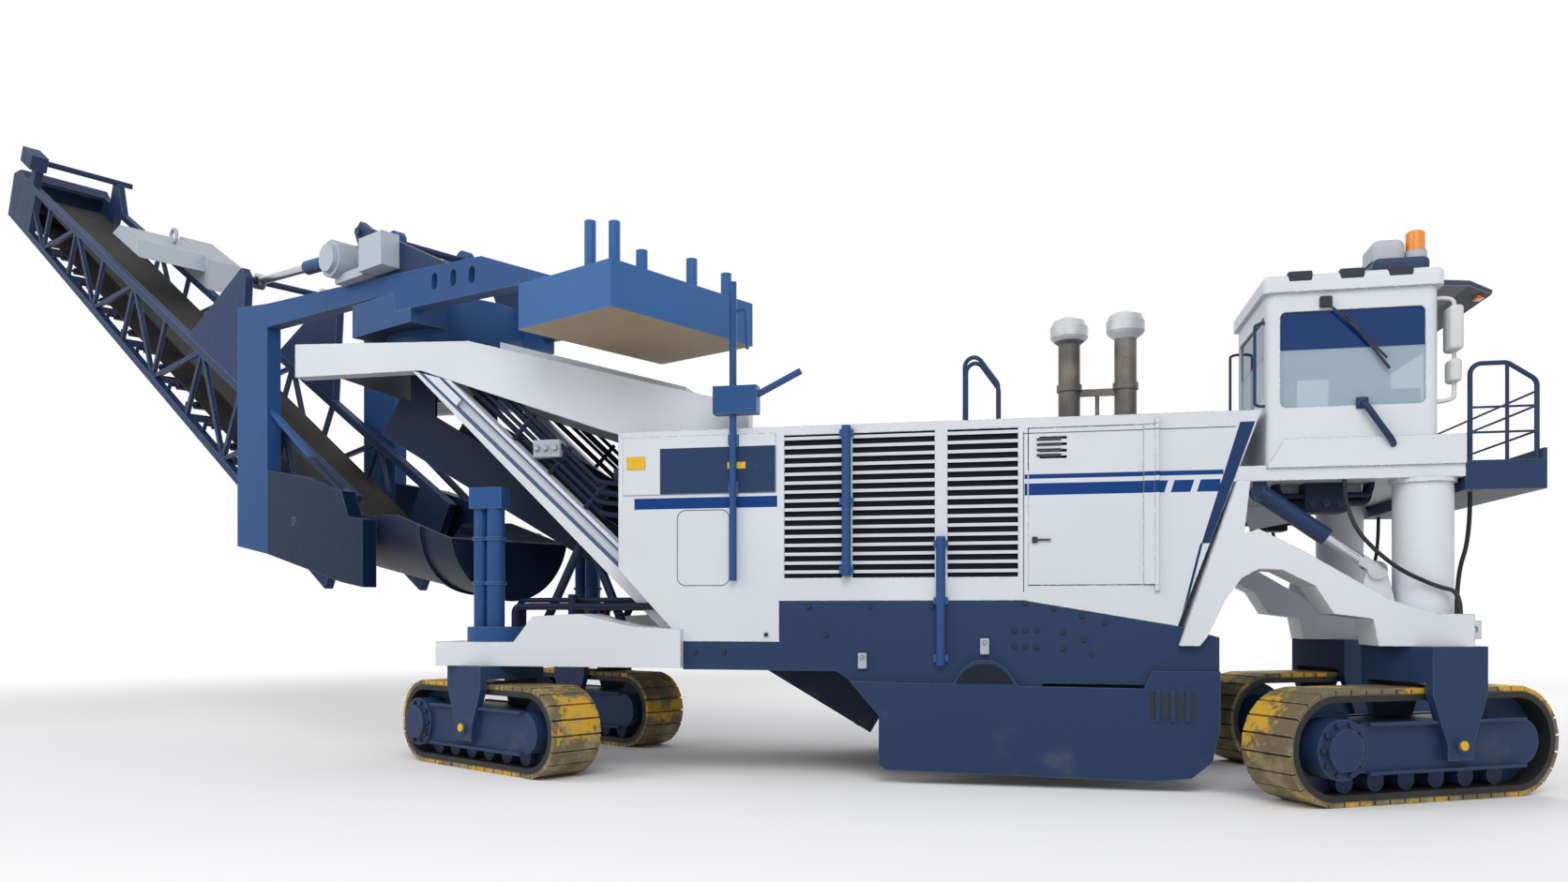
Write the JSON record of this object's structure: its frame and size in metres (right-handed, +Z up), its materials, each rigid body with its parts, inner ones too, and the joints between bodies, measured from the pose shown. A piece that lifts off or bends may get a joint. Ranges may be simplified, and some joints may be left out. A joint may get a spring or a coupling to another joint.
{
  "type": "surface miner",
  "caption": "Tracked surface miner with a cutter drum under its belly, a cab at the front and a slewing, luffing discharge conveyor with counterweight at the rear.",
  "frame": {"origin": "bottom centre of the whole machine's box, on the ground", "axes": "+X forward to the cab, +Y to the machine's left, +Z up"},
  "size_m": [27.6518, 10.9378, 11.878],
  "materials": {
    "white_paint": "gloss paint",
    "slate_blue_paint": "satin paint",
    "steel_blue_paint": "satin paint",
    "track_steel": "worn shoes",
    "cutter_steel": "worn steel",
    "dark_grille": "matt paint",
    "bright_rod": "polished",
    "belt_rubber": "matt",
    "hose_rubber": "smooth",
    "window_glass": "clear",
    "seat_fabric": "woven",
    "exhaust_steel": "heat stained",
    "amber_lens": "translucent",
    "engine_iron": "painted"
  },
  "bodies": {
    "chassis": {"main_frame": "slate_blue_paint", "side_plates": "slate_blue_paint", "engine_hood": "white_paint", "hood_grilles": "dark_grille", "engine_block": "engine_iron", "exhaust_stacks": "exhaust_steel", "cab_deck": "white_paint", "front_platform": "slate_blue_paint", "front_columns": "white_paint", "front_arms": "white_paint", "lift_barrels": "slate_blue_paint", "lift_rods": "bright_rod", "leg_hoses": "hose_rubber", "cab_shell": "white_paint", "cab_roof": "white_paint", "cab_glass": "window_glass", "operator_seat": "seat_fabric", "operator_console": "dark_grille", "roof_unit": "white_paint", "beacon": "amber_lens", "handrails": "slate_blue_paint", "rear_arms": "white_paint", "rear_columns": "slate_blue_paint", "boom_beams": "white_paint", "boom_struts": "white_paint", "slew_ring": "slate_blue_paint", "primary_conveyor": "slate_blue_paint", "primary_belt": "belt_rubber", "service_mast": "steel_blue_paint"},
    "drum": {"cutter_drum": "cutter_steel"},
    "slew_unit": {"turntable": "steel_blue_paint", "portal_frame": "steel_blue_paint", "counterweight": "steel_blue_paint", "hopper": "slate_blue_paint", "luff_gantry": "slate_blue_paint", "winch_unit": "white_paint"},
    "conveyor": {"conveyor_truss": "slate_blue_paint", "conveyor_belt": "belt_rubber", "conveyor_pulleys": "cutter_steel", "head_chute": "slate_blue_paint", "drive_unit": "white_paint", "luff_mast": "slate_blue_paint"},
    "luff_barrel": {"luff_barrels": "steel_blue_paint"},
    "luff_rod": {"luff_rods": "bright_rod"},
    "right_hood_door": {"hood_door_right": "white_paint"},
    "left_hood_door": {"hood_door_left": "white_paint"},
    "operator_door": {"cab_door": "white_paint", "cab_door_glass": "window_glass"},
    "front_right_track": {"track_front_right": "track_steel", "track_frame_front_right": "slate_blue_paint", "track_fork_front_right": "slate_blue_paint"},
    "front_left_track": {"track_front_left": "track_steel", "track_frame_front_left": "slate_blue_paint", "track_fork_front_left": "slate_blue_paint"},
    "rear_right_track": {"track_rear_right": "track_steel", "track_frame_rear_right": "slate_blue_paint", "track_fork_rear_right": "slate_blue_paint"},
    "rear_left_track": {"track_rear_left": "track_steel", "track_frame_rear_left": "slate_blue_paint", "track_fork_rear_left": "slate_blue_paint"}
  },
  "joints": [
    {"name": "drum_spin", "type": "hinge", "parent": "chassis", "child": "drum", "pos_m": [7.88175, -2.39211, 1.02], "axis": [0, 1, 0], "continuous": true},
    {"name": "slew", "type": "hinge", "parent": "chassis", "child": "slew_unit", "pos_m": [0.50175, -2.39211, 5.5], "axis": [0, 0, 1], "range_deg": [-55, 109]},
    {"name": "luff", "type": "hinge", "parent": "slew_unit", "child": "conveyor", "pos_m": [-1.54756, -1.34794, 3.25], "axis": [0.454, 0.891, 0], "range_deg": [-20, 2]},
    {"name": "luff_barrel_tilt", "type": "hinge", "parent": "slew_unit", "child": "luff_barrel", "pos_m": [-0.03285, -2.11972, 7.1], "axis": [0.454, 0.891, 0], "range_deg": [-12.36, 1.69]},
    {"name": "luff_rod_slide", "type": "slide", "parent": "luff_barrel", "child": "luff_rod", "axis": [-0.8899, 0.4534, 0.0499], "range_m": [-0.1407, 1.3169]},
    {"name": "right_hood_door_swing", "type": "hinge", "parent": "chassis", "child": "right_hood_door", "pos_m": [9.70175, -4.26642, 2.21], "axis": [0, 0, 1], "range_deg": [0, 100]},
    {"name": "left_hood_door_swing", "type": "hinge", "parent": "chassis", "child": "left_hood_door", "pos_m": [9.70175, -0.51782, 2.21], "axis": [0, 0, -1], "range_deg": [0, 100]},
    {"name": "cab_door_swing", "type": "hinge", "parent": "chassis", "child": "operator_door", "pos_m": [11.96175, -2.51782, 3.56], "axis": [0, 0, -1], "range_deg": [0, 95]},
    {"name": "front_right_steer", "type": "hinge", "parent": "chassis", "child": "front_right_track", "pos_m": [12.37175, -3.99212, 0], "axis": [0, 0, 1], "range_deg": [-65, 5]},
    {"name": "front_left_steer", "type": "hinge", "parent": "chassis", "child": "front_left_track", "pos_m": [12.37175, -0.79212, 0], "axis": [0, 0, 1], "range_deg": [-65, 5]},
    {"name": "rear_right_steer", "type": "hinge", "parent": "chassis", "child": "rear_right_track", "pos_m": [1.90175, -3.99212, 0], "axis": [0, 0, -1], "range_deg": [-65, 5]},
    {"name": "rear_left_steer", "type": "hinge", "parent": "chassis", "child": "rear_left_track", "pos_m": [1.90175, -0.79212, 0], "axis": [0, 0, -1], "range_deg": [-65, 5]}
  ],
  "couplings": [
    {"joint": "luff_barrel_tilt", "follows": "luff", "ratio": 0.5931},
    {"joint": "luff_rod_slide", "follows": "luff", "m_per_rad": -3.7439}
  ]
}
